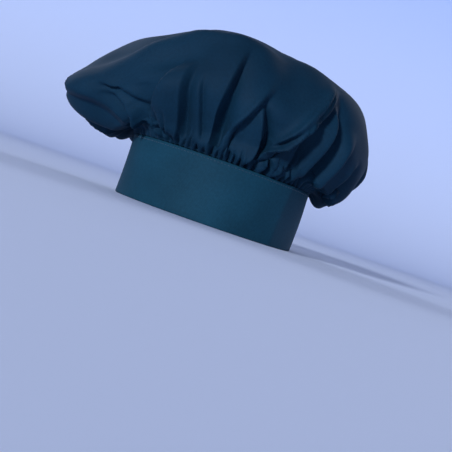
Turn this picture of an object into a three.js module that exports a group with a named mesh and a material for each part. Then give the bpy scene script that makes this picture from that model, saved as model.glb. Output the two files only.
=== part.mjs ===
// Mushroom chef hat: a wide band of doubled cloth and a large round crown gathered into it.
// Millimetres, +Z up. The front of the hat faces -Y, and its band stands on the plane z = 0.
// Azimuths are degrees round the hat from the middle of the front, first towards +X.

import * as THREE from 'three';

// Band: outer half width and half depth of its oval, its height and its doubled wall.
const BAND_HALF_WIDTH = 87;
const BAND_HALF_DEPTH = 100;
const BAND_HEIGHT = 57;
const BAND_WALL = 2.6;
const BAND_COLUMNS = 96;
const BAND_ROWS = 3;
const BAND_EASE = 0.9;

// Crown: cloth wall, clearance over the band's top edge, the middle of its top,
// and how full the top is halfway in from the shoulder, as shares of the shoulder's reach and of the climb.
const CROWN_WALL = 1.8;
const SEAM_GAP = 0.3;
const CROWN_TOP = { x: -18, y: 6, z: 177 };
const DOME = { out: 0.5, up: 0.74 };
const LEAN_POWER = 1.5;

// The cloth leaves the seam upwards before it turns out: how far out and up that first bend is.
const COLLAR = { out: 8, up: 8 };

// Gathers: one crest and one hollow to each pair of mesh columns. Every other gather is a long one.
const CROWN_COLUMNS = 120;
const CROWN_ROWS = 21;
const ROW_CROWDING = 1.3;
const GATHER_DEPTH = 1.9;
const GATHER_START = 9;
const GATHER_LENGTH = { short: 20, long: 46 };
const GATHER_WANDER = 0.28;

// Folds: over how many millimetres one grows, how its path bends, how much it widens on the way,
// and after what share of its length it begins to fade.
const FOLD_START = 16;
const FOLD_BEND = 1.2;
const FOLD_SPREAD = 0.6;
const FOLD_FADE = 0.55;

// The crown's form without folds, a row for each direction round the hat.
// hem: the underside's lowest place, reach: the farthest place out, shoulder: where the top begins.
const OUTLINE = [
  { azimuth: 0, hemOut: 109, hemUp: 78, reachOut: 124, reachUp: 113, shoulderOut: 100, shoulderUp: 157 },
  { azimuth: 30, hemOut: 109, hemUp: 74, reachOut: 124, reachUp: 110, shoulderOut: 103, shoulderUp: 152 },
  { azimuth: 60, hemOut: 111, hemUp: 63, reachOut: 130, reachUp: 104, shoulderOut: 112, shoulderUp: 149 },
  { azimuth: 90, hemOut: 113, hemUp: 55, reachOut: 137, reachUp: 94, shoulderOut: 118, shoulderUp: 140 },
  { azimuth: 120, hemOut: 117, hemUp: 54, reachOut: 140, reachUp: 94, shoulderOut: 118, shoulderUp: 136 },
  { azimuth: 150, hemOut: 121, hemUp: 56, reachOut: 142, reachUp: 95, shoulderOut: 118, shoulderUp: 134 },
  { azimuth: 180, hemOut: 123, hemUp: 56, reachOut: 143, reachUp: 95, shoulderOut: 118, shoulderUp: 131 },
  { azimuth: 210, hemOut: 122, hemUp: 53, reachOut: 143, reachUp: 90, shoulderOut: 122, shoulderUp: 126 },
  { azimuth: 240, hemOut: 117, hemUp: 50, reachOut: 147, reachUp: 80, shoulderOut: 129, shoulderUp: 118 },
  { azimuth: 264, hemOut: 114, hemUp: 49, reachOut: 155, reachUp: 72, shoulderOut: 138, shoulderUp: 112 },
  { azimuth: 280, hemOut: 113, hemUp: 52, reachOut: 158, reachUp: 69, shoulderOut: 137, shoulderUp: 109 },
  { azimuth: 300, hemOut: 111, hemUp: 60, reachOut: 143, reachUp: 86, shoulderOut: 117, shoulderUp: 122 },
  { azimuth: 330, hemOut: 108, hemUp: 72, reachOut: 129, reachUp: 105, shoulderOut: 104, shoulderUp: 151 },
];

// The crown's main folds, each a line from near the seam to near the shoulder.
// start and end are millimetres of cloth from the seam, width is the fold's half width,
// and rise is a ridge's height or, below zero, a hollow's depth.
const FOLDS = [
  { name: 'left corner ridge', azimuth: 290, endAzimuth: 277, start: 6, end: 78, width: 8, rise: 8 },
  { name: 'hollow by the corner', azimuth: 281, endAzimuth: 268, start: 10, end: 66, width: 10, rise: -7 },
  { name: 'hooked ridge', azimuth: 299, endAzimuth: 290, start: 4, end: 50, width: 5, rise: 5 },
  { name: 'hollow in the hook', azimuth: 294, endAzimuth: 287, start: 8, end: 44, width: 5, rise: -5 },
  { name: 'left front panel edge', azimuth: 309, endAzimuth: 304, start: 4, end: 70, width: 10, rise: 4 },
  { name: 'left front valley', azimuth: 319, endAzimuth: 322, start: 3, end: 84, width: 8, rise: -7 },
  { name: 'light panel', azimuth: 326, endAzimuth: 327, start: 6, end: 76, width: 9, rise: 4 },
  { name: 'second front valley', azimuth: 332, endAzimuth: 332, start: 3, end: 70, width: 7, rise: -6 },
  { name: 'soft front valley', azimuth: 344, endAzimuth: 340, start: 3, end: 60, width: 8, rise: -4 },
  { name: 'deep front valley', azimuth: 350, endAzimuth: 349, start: 3, end: 84, width: 7, rise: -9 },
  { name: 'front ridge', azimuth: 356, endAzimuth: 359, start: 4, end: 62, width: 6, rise: 7 },
  { name: 'second front ridge', azimuth: 3, endAzimuth: 8, start: 4, end: 46, width: 4.5, rise: 5 },
  { name: 'dark front valley', azimuth: 8, endAzimuth: 12, start: 3, end: 42, width: 5, rise: -7 },
  { name: 'long slanting ridge', azimuth: 11, endAzimuth: 42, start: 6, end: 104, width: 7, rise: 8 },
  { name: 'hollow under the long ridge', azimuth: 27, endAzimuth: 36, start: 8, end: 84, width: 8, rise: -6 },
  { name: 'curled gather', azimuth: 22, endAzimuth: 27, start: 3, end: 30, width: 5, rise: 4 },
  { name: 'long right valley', azimuth: 40, endAzimuth: 44, start: 3, end: 92, width: 8, rise: -8 },
  { name: 'ridge beside it', azimuth: 48, endAzimuth: 54, start: 5, end: 88, width: 9, rise: 6 },
  { name: 'right hollow', azimuth: 66, endAzimuth: 63, start: 12, end: 60, width: 11, rise: -4 },
  { name: 'right ridge', azimuth: 78, endAzimuth: 80, start: 6, end: 70, width: 11, rise: 5 },
  { name: 'right back valley', azimuth: 96, endAzimuth: 92, start: 12, end: 78, width: 11, rise: -5 },
  { name: 'back ridge, right', azimuth: 114, endAzimuth: 118, start: 6, end: 72, width: 12, rise: 5 },
  { name: 'back valley, right', azimuth: 134, endAzimuth: 130, start: 12, end: 86, width: 11, rise: -5 },
  { name: 'back ridge', azimuth: 156, endAzimuth: 160, start: 6, end: 66, width: 12, rise: 5 },
  { name: 'back valley', azimuth: 177, endAzimuth: 174, start: 12, end: 80, width: 11, rise: -5 },
  { name: 'back ridge, left', azimuth: 198, endAzimuth: 202, start: 6, end: 70, width: 12, rise: 5 },
  { name: 'back valley, left', azimuth: 219, endAzimuth: 214, start: 12, end: 84, width: 11, rise: -5 },
  { name: 'left back ridge', azimuth: 240, endAzimuth: 243, start: 6, end: 70, width: 12, rise: 5 },
  { name: 'left back valley', azimuth: 260, endAzimuth: 256, start: 10, end: 60, width: 10, rise: -4 },
];

const CLOTH_BLUE = 0x1d4058;

const radians = (degrees) => (degrees * Math.PI) / 180;

function smoothStep(from, to, value) {
  const t = THREE.MathUtils.clamp((value - from) / (to - from), 0, 1);
  return t * t * (3 - 2 * t);
}

// A smooth closed curve through one column of the outline table.
function outlineValue(azimuth, column) {
  const count = OUTLINE.length;
  const turned = THREE.MathUtils.euclideanModulo(azimuth, 360);
  let row = count - 1;
  while (OUTLINE[row].azimuth > turned) {
    row -= 1;
  }
  const at = (step) => {
    const index = row + step;
    const wrapped = THREE.MathUtils.euclideanModulo(index, count);
    return { x: OUTLINE[wrapped].azimuth + 360 * Math.floor(index / count), y: OUTLINE[wrapped][column] };
  };
  return hermite(at(-1), at(0), at(1), at(2), turned);
}

// Catmull-Rom between the two middle points, for points that are unevenly spaced in x.
function hermite(before, from, to, after, x) {
  const span = to.x - from.x;
  const t = (x - from.x) / span;
  const slopeFrom = ((to.y - before.y) / (to.x - before.x)) * span;
  const slopeTo = ((after.y - from.y) / (after.x - from.x)) * span;
  const t2 = t * t;
  const t3 = t2 * t;
  const ends = from.y * (2 * t3 - 3 * t2 + 1) + to.y * (3 * t2 - 2 * t3);
  return ends + slopeFrom * (t3 - 2 * t2 + t) + slopeTo * (t3 - t2);
}

// Distance of the band's oval from the hat's axis, drawn in by the given inset.
function ovalRadius(azimuth, inset) {
  const a = radians(azimuth);
  const across = Math.sin(a) / (BAND_HALF_WIDTH - inset);
  const along = Math.cos(a) / (BAND_HALF_DEPTH - inset);
  return 1 / Math.hypot(across, along);
}

// The crown's meridian in one direction: out and up from the seam to the top, by millimetres of cloth.
function meridian(azimuth) {
  const seam = ovalRadius(azimuth, (BAND_WALL - CROWN_WALL) / 2);
  const seamUp = BAND_HEIGHT + SEAM_GAP;
  const value = (column) => outlineValue(azimuth, column);
  const shoulder = { out: value('shoulderOut'), up: value('shoulderUp') };
  const dome = {
    out: shoulder.out * DOME.out,
    up: THREE.MathUtils.lerp(shoulder.up, CROWN_TOP.z, DOME.up),
  };
  const points = [
    { out: seam, up: seamUp - COLLAR.up },
    { out: seam, up: seamUp },
    { out: seam + COLLAR.out, up: seamUp + COLLAR.up },
    { out: value('hemOut'), up: value('hemUp') },
    { out: value('reachOut'), up: value('reachUp') },
    shoulder,
    dome,
    { out: 0, up: CROWN_TOP.z },
    { out: -dome.out, up: dome.up },
  ];
  const along = [0];
  for (let i = 1; i < points.length; i += 1) {
    const step = Math.hypot(points[i].out - points[i - 1].out, points[i].up - points[i - 1].up);
    along.push(along[i - 1] + step);
  }
  const first = along[1];
  return { points, along: along.map((d) => d - first), length: along[points.length - 2] - first };
}

// A point of the crown's form without folds, at a share of the way from the seam to the top.
function formPoint(azimuth, share) {
  const line = meridian(azimuth);
  const distance = THREE.MathUtils.clamp(share, 0, 1) * line.length;
  let i = 1;
  while (i < line.points.length - 3 && line.along[i + 1] < distance) {
    i += 1;
  }
  const pick = (key) => {
    const knot = (k) => ({ x: line.along[k], y: line.points[k][key] });
    return hermite(knot(i - 1), knot(i), knot(i + 1), knot(i + 2), distance);
  };
  const out = pick('out');
  const lean = share ** LEAN_POWER;
  const a = radians(azimuth);
  const x = CROWN_TOP.x * lean + out * Math.sin(a);
  const y = CROWN_TOP.y * lean - out * Math.cos(a);
  return new THREE.Vector3(x, y, pick('up'));
}

// The outward normal of the form without folds.
function formNormal(azimuth, share) {
  const turn = 0.5;
  const step = 0.004;
  const round = formPoint(azimuth + turn, share).sub(formPoint(azimuth - turn, share));
  const upper = Math.min(share + step, 1);
  const lower = Math.max(share - step, 0);
  const rise = formPoint(azimuth, upper).sub(formPoint(azimuth, lower));
  return round.cross(rise).normalize();
}

// How far the table's folds lift the cloth off the form.
function foldRise(azimuth, distance, out) {
  let rise = 0;
  for (const fold of FOLDS) {
    const t = THREE.MathUtils.clamp(distance / fold.end, 0, 1);
    const middle = fold.azimuth + (fold.endAzimuth - fold.azimuth) * t ** FOLD_BEND;
    const turn = THREE.MathUtils.euclideanModulo(azimuth - middle + 180, 360) - 180;
    const across = (radians(turn) * out) / (fold.width * (1 + FOLD_SPREAD * t));
    const grown = smoothStep(fold.start, fold.start + FOLD_START, distance);
    const faded = smoothStep(FOLD_FADE * fold.end, fold.end, distance);
    rise += fold.rise * grown * (1 - faded) * Math.exp(-across * across);
  }
  return rise;
}

// Azimuth of a mesh column. Gathers are unevenly spaced, so the columns wander a little.
function columnAzimuth(column) {
  const wander = GATHER_WANDER * (Math.sin(2.1 * column) + 0.6 * Math.sin(0.77 * column + 1));
  return (360 * (column + wander)) / CROWN_COLUMNS;
}

// The seam's small gathers: even columns lie in hollows and odd ones on crests.
function gatherRise(column, distance) {
  const side = column % 2 === 0 ? -1 : 1;
  const gather = Math.floor(column / 2);
  const reach = gather % 2 === 0 ? GATHER_LENGTH.long : GATHER_LENGTH.short;
  const depth = GATHER_DEPTH * (0.8 + 0.3 * Math.sin(1.9 * gather));
  return side * depth * smoothStep(0, GATHER_START, distance) * Math.exp(-((distance / reach) ** 2));
}

// The two faces of the crown's wall at one column and row.
function crownWall(column, row) {
  const azimuth = columnAzimuth(column);
  const share = (row / CROWN_ROWS) ** ROW_CROWDING;
  const place = formPoint(azimuth, share);
  const normal = formNormal(azimuth, share);
  const distance = share * meridian(azimuth).length;
  const out = Math.hypot(place.x, place.y);
  const rise = foldRise(azimuth, distance, out) + gatherRise(column, distance);
  const outside = place.clone().addScaledVector(normal, rise);
  const inside = outside.clone().addScaledVector(normal, -CROWN_WALL);
  if (row === 0) {
    const inward = new THREE.Vector3(-Math.sin(radians(azimuth)), Math.cos(radians(azimuth)), 0);
    inside.copy(outside).addScaledVector(inward, CROWN_WALL);
  }
  return { outside, inside };
}

// Collects shared corners and triangles of one closed solid.
class Shell {
  constructor() {
    this.corners = [];
    this.triangles = [];
  }

  add(point) {
    this.corners.push(point.x, point.y, point.z);
    return this.corners.length / 3 - 1;
  }

  // One triangle, turned over when it belongs to an inside face.
  face(a, b, c, inside) {
    this.triangles.push(...(inside ? [a, c, b] : [a, b, c]));
  }

  // A strip of quads between two closed rings. Both faces of a wall split their quads the same way.
  bridge(lower, upper, inside) {
    const count = lower.length;
    for (let i = 0; i < count; i += 1) {
      const next = (i + 1) % count;
      this.face(lower[i], lower[next], upper[next], inside);
      this.face(lower[i], upper[next], upper[i], inside);
    }
  }

  // A fan that closes a ring at one point.
  cap(ring, tip, inside) {
    for (let i = 0; i < ring.length; i += 1) {
      this.face(ring[i], ring[(i + 1) % ring.length], tip, inside);
    }
  }

  geometry() {
    const geometry = new THREE.BufferGeometry();
    geometry.setAttribute('position', new THREE.Float32BufferAttribute(this.corners, 3));
    geometry.setIndex(this.triangles);
    geometry.computeVertexNormals();
    return geometry;
  }
}

// Both faces of a wall, from its lowest ring to its highest, with its lower edge closed.
function bridgeWall(shell, outer, inner) {
  for (let i = 1; i < outer.length; i += 1) {
    shell.bridge(outer[i - 1], outer[i], false);
    shell.bridge(inner[i - 1], inner[i], true);
  }
  shell.bridge(inner[0], outer[0], false);
}

function buildCrown() {
  const shell = new Shell();
  const outer = [];
  const inner = [];
  for (let row = 0; row < CROWN_ROWS; row += 1) {
    const walls = Array.from({ length: CROWN_COLUMNS }, (_, column) => crownWall(column, row));
    outer.push(walls.map((wall) => shell.add(wall.outside)));
    inner.push(walls.map((wall) => shell.add(wall.inside)));
  }
  bridgeWall(shell, outer, inner);
  const top = new THREE.Vector3(CROWN_TOP.x, CROWN_TOP.y, CROWN_TOP.z);
  shell.cap(outer[CROWN_ROWS - 1], shell.add(top), false);
  top.z -= CROWN_WALL;
  shell.cap(inner[CROWN_ROWS - 1], shell.add(top), true);
  return shell.geometry();
}

// The band is not quite straight: it eases in and out a little round the head.
function bandRing(shell, inset, height) {
  return Array.from({ length: BAND_COLUMNS }, (_, column) => {
    const azimuth = (360 * column) / BAND_COLUMNS;
    const a = radians(azimuth);
    const middle = Math.sin((Math.PI * height) / BAND_HEIGHT);
    const ease = BAND_EASE * middle * Math.sin(5 * a + 0.6);
    const out = ovalRadius(azimuth, inset) + ease;
    return shell.add(new THREE.Vector3(out * Math.sin(a), -out * Math.cos(a), height));
  });
}

function buildBand() {
  const shell = new Shell();
  const heights = Array.from({ length: BAND_ROWS }, (_, row) => (BAND_HEIGHT * row) / (BAND_ROWS - 1));
  const outer = heights.map((height) => bandRing(shell, 0, height));
  const inner = heights.map((height) => bandRing(shell, BAND_WALL, height));
  bridgeWall(shell, outer, inner);
  shell.bridge(outer[BAND_ROWS - 1], inner[BAND_ROWS - 1], false);
  return shell.geometry();
}

function clothMesh(name, geometry) {
  const material = new THREE.MeshStandardMaterial({ color: CLOTH_BLUE, roughness: 0.9, metalness: 0 });
  material.name = 'poly-cotton twill';
  material.side = THREE.FrontSide;
  const mesh = new THREE.Mesh(geometry, material);
  mesh.name = name;
  return mesh;
}

// The crown reaches out unevenly, so the whole hat is moved until its outer box is centred.
function centred(group) {
  const box = new THREE.Box3().setFromObject(group);
  const middle = box.getCenter(new THREE.Vector3());
  group.position.set(-middle.x, -middle.y, -box.min.z);
  group.updateMatrixWorld(true);
  return group;
}

const hat = new THREE.Group();
hat.name = 'mushroom_chef_hat';
hat.add(clothMesh('crown', buildCrown()));
hat.add(clothMesh('band', buildBand()));

export default centred(hat);
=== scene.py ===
"""Mushroom chef hat: a large round of twill gathered into a plain, doubled band.

The crown is one round of cloth. A spun tube of mesh takes the hat's form from a table of
directions, the main folds push it in and out, and a short cloth simulation lets it settle.
The crisp tucks, the small gathers at the seam and a few rumples are pressed in last. The
band is a folded strip, its cut edges upwards, with topstitching under the crown's seam.

Sizes are in millimetres in the hat's own frame: the front of the hat faces -Y and its band
stands on z = 0. They become metres, about the hat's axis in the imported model, when a mesh
is written. Azimuths are degrees round the hat from the middle of the front, first towards +X.
"""

import logging
import math
from dataclasses import dataclass
from enum import Enum
from typing import NamedTuple

import bmesh
import bpy
import numpy as np
from mathutils import Matrix, Vector


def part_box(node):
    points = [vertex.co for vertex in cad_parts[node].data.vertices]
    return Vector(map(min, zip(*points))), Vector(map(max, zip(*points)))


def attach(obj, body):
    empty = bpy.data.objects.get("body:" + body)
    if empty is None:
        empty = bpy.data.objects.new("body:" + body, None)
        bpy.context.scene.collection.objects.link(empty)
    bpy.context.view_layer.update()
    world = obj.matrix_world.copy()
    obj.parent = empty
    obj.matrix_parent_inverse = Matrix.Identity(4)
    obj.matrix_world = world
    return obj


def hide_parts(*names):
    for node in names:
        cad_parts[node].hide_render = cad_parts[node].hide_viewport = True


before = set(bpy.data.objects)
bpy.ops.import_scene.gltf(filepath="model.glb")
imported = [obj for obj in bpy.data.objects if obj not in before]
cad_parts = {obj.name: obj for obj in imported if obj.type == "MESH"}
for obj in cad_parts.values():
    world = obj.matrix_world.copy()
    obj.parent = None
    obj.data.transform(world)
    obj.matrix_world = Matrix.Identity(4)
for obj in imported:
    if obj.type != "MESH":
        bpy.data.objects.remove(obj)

LOG = logging.getLogger("chef_hat")
MM = 0.001
FULL_TURN = 360.0
# A Mix node's colour sockets share their names with its others, so they go by their places.
MIX_FIRST, MIX_SECOND, MIX_RESULT = 6, 7, 2


class Slot(Enum):
    """The record's material slots."""

    CROWN = "crown_cloth"
    BAND = "band_cloth"


class Face(Enum):
    """The two faces of the band."""

    OUTER = 1
    INNER = -1


class OutlineRow(NamedTuple):
    """The crown's form in one direction, out from the hat's axis and up from the rim.

    hem is the underside's lowest place, reach the farthest place out, and shoulder where
    the top begins.
    """

    azimuth: float
    hem_out: float
    hem_up: float
    reach_out: float
    reach_up: float
    shoulder_out: float
    shoulder_up: float


class Fold(NamedTuple):
    """A fold's line from near the seam towards the shoulder.

    start and end are millimetres of cloth from the seam, width is the fold's half width,
    and rise is a ridge's height or, below zero, a hollow's depth.
    """

    name: str
    azimuth: float
    end_azimuth: float
    start: float
    end: float
    width: float
    rise: float


OUTLINE = (
    OutlineRow(0, 109, 78, 124, 113, 100, 157),
    OutlineRow(30, 109, 74, 124, 110, 103, 152),
    OutlineRow(60, 111, 63, 130, 104, 112, 149),
    OutlineRow(90, 113, 55, 137, 94, 118, 140),
    OutlineRow(120, 117, 54, 140, 94, 118, 136),
    OutlineRow(150, 121, 56, 142, 95, 118, 134),
    OutlineRow(180, 123, 56, 143, 95, 118, 131),
    OutlineRow(210, 122, 53, 143, 90, 122, 126),
    OutlineRow(240, 117, 50, 147, 80, 129, 118),
    OutlineRow(264, 114, 49, 155, 72, 138, 112),
    OutlineRow(280, 113, 52, 158, 69, 137, 109),
    OutlineRow(300, 111, 60, 143, 86, 117, 122),
    OutlineRow(330, 108, 72, 129, 105, 104, 151),
)

FOLDS = (
    Fold("left corner ridge", 290, 277, 6, 78, 9, 5),
    Fold("hollow by the corner", 281, 268, 10, 66, 10, -6),
    Fold("hooked ridge", 299, 290, 4, 50, 7, 3),
    Fold("left front panel edge", 309, 304, 4, 70, 10, 2),
    Fold("left front valley", 315, 319, 3, 84, 9, -5),
    Fold("light panel", 326, 327, 6, 76, 9, 3),
    Fold("second front valley", 332, 332, 3, 70, 7, -2.5),
    Fold("deep front valley", 348, 349, 3, 84, 7, -3),
    Fold("front ridge", 356, 359, 4, 62, 6, 4),
    Fold("dark front valley", 10, 12, 3, 42, 6, -3),
    Fold("long slanting ridge", 14, 42, 6, 104, 8, 5),
    Fold("hollow under the long ridge", 27, 36, 8, 84, 8, -3),
    Fold("long right valley", 40, 44, 3, 92, 8, -4),
    Fold("ridge beside it", 48, 54, 5, 88, 9, 4),
    Fold("right hollow", 66, 63, 12, 60, 11, -3),
    Fold("right ridge", 78, 80, 6, 70, 11, 4),
    Fold("right back valley", 96, 92, 12, 78, 11, -4),
    Fold("back ridge, right", 114, 118, 6, 72, 12, 4),
    Fold("back valley, right", 134, 130, 12, 86, 11, -4),
    Fold("back ridge", 156, 160, 6, 66, 12, 4),
    Fold("back valley", 177, 174, 12, 80, 11, -4),
    Fold("back ridge, left", 198, 202, 6, 70, 12, 4),
    Fold("back valley, left", 219, 214, 12, 84, 11, -4),
    Fold("left back ridge", 240, 243, 6, 70, 12, 4),
    Fold("left back valley", 260, 256, 10, 60, 10, -4),
)


class Sag(NamedTuple):
    """A broad soft place where the cloth sags in, or below zero swells out.

    azimuth and distance, in millimetres of cloth from the seam, are its middle, half_width
    its reach round the hat and half_length its reach from the seam to the top.
    """

    name: str
    azimuth: float
    distance: float
    half_width: float
    half_length: float
    depth: float


SAGS = (
    Sag("hollow under the left roll", 306, 58, 28, 24, 10),
    Sag("hollow under the rolled edge", 324, 86, 30, 13, 8),
    Sag("rolled edge, left", 310, 102, 26, 13, -6),
    Sag("rolled edge, front", 336, 116, 46, 9, -4.5),
    Sag("flat of the right front", 18, 94, 20, 34, 6.5),
    Sag("swell of the middle front", 350, 104, 15, 34, -2.5),
    Sag("slope over the left end", 282, 118, 30, 16, 3),
    Sag("dip of the top, right", 96, 128, 40, 30, 4),
    Sag("dip of the top, back", 196, 150, 46, 26, 5),
    Sag("swell of the back", 150, 84, 44, 22, -3),
)


class Side(Enum):
    """The side of a tuck's line on which its crest stands."""

    FIRST = -1
    NEXT = 1


class Tuck(NamedTuple):
    """A crisp tuck: a crest, a steep wall down from it, and a hollow at the wall's foot.

    path holds pairs of millimetres of cloth from the seam and azimuth along the wall's
    middle. crest is the side where the crest is, NEXT towards larger azimuths. rise and
    sink are the crest's height and the hollow's depth, wall is the wall's width, and
    crest_width and hollow_width how far each spreads. bend is 1 for a wall creased at both
    ends, and more for one that rounds over from its crest.
    """

    name: str
    path: tuple[tuple[float, float], ...]
    crest: Side
    rise: float
    sink: float
    wall: float
    crest_width: float
    hollow_width: float
    bend: float = 1.5


TUCKS = (
    Tuck(
        "left corner edge",
        ((18, 299), (32, 298), (45, 295), (60, 291), (75, 286), (90, 280), (106, 275), (140, 270)),
        Side.NEXT, 3.5, 4, 10, 14, 22, 1.0,
    ),
    Tuck(
        "hooked ridge",
        ((10, 300), (20, 304), (30, 307), (40, 306), (52, 302), (66, 295)),
        Side.NEXT, 4, 4, 3, 4, 7,
    ),
    Tuck(
        "fold over the hook",
        ((30, 318), (40, 313), (52, 307), (66, 301), (86, 294)),
        Side.NEXT, 2.5, 3, 4, 11, 9,
    ),
    Tuck(
        "panel edge",
        ((4, 314), (26, 317), (34, 319.5), (46, 322), (62, 325), (92, 330)),
        Side.NEXT, 2.5, 5, 4, 14, 16, 1.4,
    ),
    Tuck("thin gather", ((1, 321), (11, 318), (23, 316), (34, 315)), Side.FIRST, 4, 3, 2.5, 3, 4),
    Tuck("its twin", ((1, 325), (7, 322), (19, 319), (28, 318)), Side.FIRST, 2.5, 3, 2, 2.5, 5),
    Tuck(
        "second valley",
        ((1, 331), (19, 332), (42, 333.5), (66, 334), (88, 334.5)),
        Side.FIRST, 3.5, 6.5, 6, 9, 8,
    ),
    Tuck(
        "soft valley",
        ((10, 343), (30, 341.5), (44, 341), (60, 340), (78, 339.5)),
        Side.FIRST, 1.5, 4, 4, 7, 6,
    ),
    Tuck(
        "deep valley",
        ((1, 348.5), (23, 348.5), (40, 349), (60, 351), (84, 353), (110, 355)),
        Side.FIRST, 5, 9, 5, 10, 9,
    ),
    Tuck(
        "slanting front ridge",
        ((3, 353), (20, 355), (36, 358), (48, 361.5), (64, 365.5), (86, 371)),
        Side.FIRST, 4, 5, 6, 3, 8,
    ),
    Tuck("short tuck", ((1, 357), (10, 356.5), (20, 356), (30, 357)), Side.FIRST, 3, 4, 3.5, 3.5, 6),
    Tuck(
        "round bulge",
        ((1, 366), (12, 369), (23, 370.5), (34, 370), (50, 367.5), (70, 365)),
        Side.FIRST, 5, 8, 5, 8, 6,
    ),
    Tuck(
        "lower long ridge",
        ((3, 9.5), (11, 12), (18, 14), (26, 18), (34, 22), (50, 26), (72, 33.5), (118, 50)),
        Side.FIRST, 7.5, 6, 4, 3.5, 9, 1.1,
    ),
    Tuck(
        "upper long ridge",
        ((26, 14), (34, 17.5), (46, 22), (60, 26.5), (80, 33.5), (118, 47)),
        Side.FIRST, 5, 4.5, 2.8, 3, 5, 1.1,
    ),
    Tuck("curl", ((2, 17), (10, 18), (16, 15), (24, 14)), Side.FIRST, 3, 3, 2, 3, 3.5),
    Tuck("second curl", ((1, 23.5), (9, 25), (18, 24)), Side.FIRST, 3, 3.5, 2, 4, 4),
    Tuck("third curl", ((1, 30), (10, 31), (22, 30)), Side.FIRST, 2.5, 3, 2.5, 4, 4),
    Tuck(
        "soft right valley",
        ((6, 27), (24, 28), (44, 27.5), (58, 28.5), (76, 30)),
        Side.FIRST, 3, 6, 6, 8, 8,
    ),
    Tuck(
        "deep right valley",
        ((1, 38), (23, 39), (42, 40), (59, 41.5), (84, 43.5), (108, 45)),
        Side.FIRST, 6, 10, 9, 10, 12, 1.2,
    ),
    Tuck("right panel fold", ((10, 54), (30, 52), (56, 52), (84, 56)), Side.FIRST, 1.5, 3, 6, 10, 10),
    Tuck(
        "low right valley",
        ((2, 68), (12, 67), (24, 65), (38, 63), (52, 63), (70, 64)),
        Side.FIRST, 4, 8, 8, 8, 9, 1.2,
    ),
    Tuck("right side gather", ((2, 83), (14, 81), (34, 79)), Side.FIRST, 3, 6, 6, 7, 7),
    Tuck(
        "right side valley",
        ((2, 95), (26, 96), (60, 92), (90, 90), (124, 91)),
        Side.NEXT, 2.6, 4.5, 11, 14, 14,
    ),
    Tuck(
        "back gather, right",
        ((2, 109), (24, 112), (66, 116), (100, 117)),
        Side.FIRST, 3, 4.5, 10, 14, 13,
    ),
    Tuck(
        "back valley, right",
        ((2, 128), (30, 127), (76, 123), (104, 124), (136, 127)),
        Side.NEXT, 3, 5, 12, 16, 15,
    ),
    Tuck("back gather", ((2, 147), (24, 150), (56, 155), (96, 157)), Side.FIRST, 3, 4.5, 9, 14, 12),
    Tuck(
        "back valley",
        ((2, 169), (34, 168), (80, 171), (110, 174), (146, 176)),
        Side.NEXT, 3.4, 5.5, 13, 17, 16,
    ),
    Tuck("back tuck", ((2, 190), (22, 187), (48, 189), (88, 192)), Side.FIRST, 3, 4, 9, 13, 11),
    Tuck(
        "back gather, left",
        ((2, 208), (26, 211), (72, 207), (104, 205), (138, 203)),
        Side.NEXT, 3, 5, 12, 16, 15,
    ),
    Tuck(
        "back valley, left",
        ((2, 229), (30, 226), (62, 229), (96, 233), (124, 235)),
        Side.FIRST, 3.4, 5, 12, 15, 14,
    ),
    Tuck("left side gather", ((2, 247), (24, 250), (56, 247), (100, 246)), Side.NEXT, 3, 4.5, 9, 13, 12),
    Tuck("left underside ridge", ((6, 264), (36, 266), (70, 260)), Side.FIRST, 3.5, 4, 3, 5, 8, 1.2),
    Tuck("second underside ridge", ((4, 274), (30, 276), (62, 272)), Side.FIRST, 3, 4, 3, 5, 8, 1.2),
)


def smooth_step(low: float, high: float, value: np.ndarray) -> np.ndarray:
    """Rises smoothly from 0 at low to 1 at high.

    Args:
        low: the value at which the step begins.
        high: the value at which it ends.
        value: the values to judge.

    Returns:
        The step for each value.
    """
    t = np.clip((value - low) / (high - low), 0.0, 1.0)
    return t * t * (3.0 - 2.0 * t)


def turn_between(azimuth: np.ndarray, middle: np.ndarray | float) -> np.ndarray:
    """Gives the turn from one azimuth to another, the short way round.

    Args:
        azimuth: azimuths in degrees.
        middle: the azimuths to measure from.

    Returns:
        Degrees from -180 to 180.
    """
    return np.mod(azimuth - middle + 180.0, FULL_TURN) - 180.0


def curve_between(xs: list[np.ndarray], ys: list[np.ndarray], x: np.ndarray) -> np.ndarray:
    """Reads a Catmull-Rom curve between the two middle ones of four points.

    Args:
        xs: the four points' places along the curve, which may be unevenly spaced.
        ys: the four points' values.
        x: the place to read, between the second point and the third.

    Returns:
        The curve's values at x.
    """
    span = xs[2] - xs[1]
    t = (x - xs[1]) / span
    slope_from = (ys[2] - ys[0]) / (xs[2] - xs[0]) * span
    slope_to = (ys[3] - ys[1]) / (xs[3] - xs[1]) * span
    t2 = t * t
    t3 = t2 * t
    ends = ys[1] * (2 * t3 - 3 * t2 + 1) + ys[2] * (3 * t2 - 2 * t3)
    return ends + slope_from * (t3 - 2 * t2 + t) + slope_to * (t3 - t2)


def read_points(mesh: bpy.types.Mesh) -> np.ndarray:
    """Reads a mesh's vertices as an array of rows of three."""
    flat = np.empty(len(mesh.vertices) * 3)
    mesh.vertices.foreach_get("co", flat)
    return flat.reshape(-1, 3)


def read_normals(mesh: bpy.types.Mesh) -> np.ndarray:
    """Reads a mesh's vertex normals as an array of rows of three."""
    flat = np.empty(len(mesh.vertices) * 3)
    mesh.vertices.foreach_get("normal", flat)
    return flat.reshape(-1, 3)


def write_points(mesh: bpy.types.Mesh, points: np.ndarray) -> None:
    """Moves a mesh's vertices to the rows of an array."""
    mesh.vertices.foreach_set("co", points.ravel())
    mesh.update()


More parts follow.
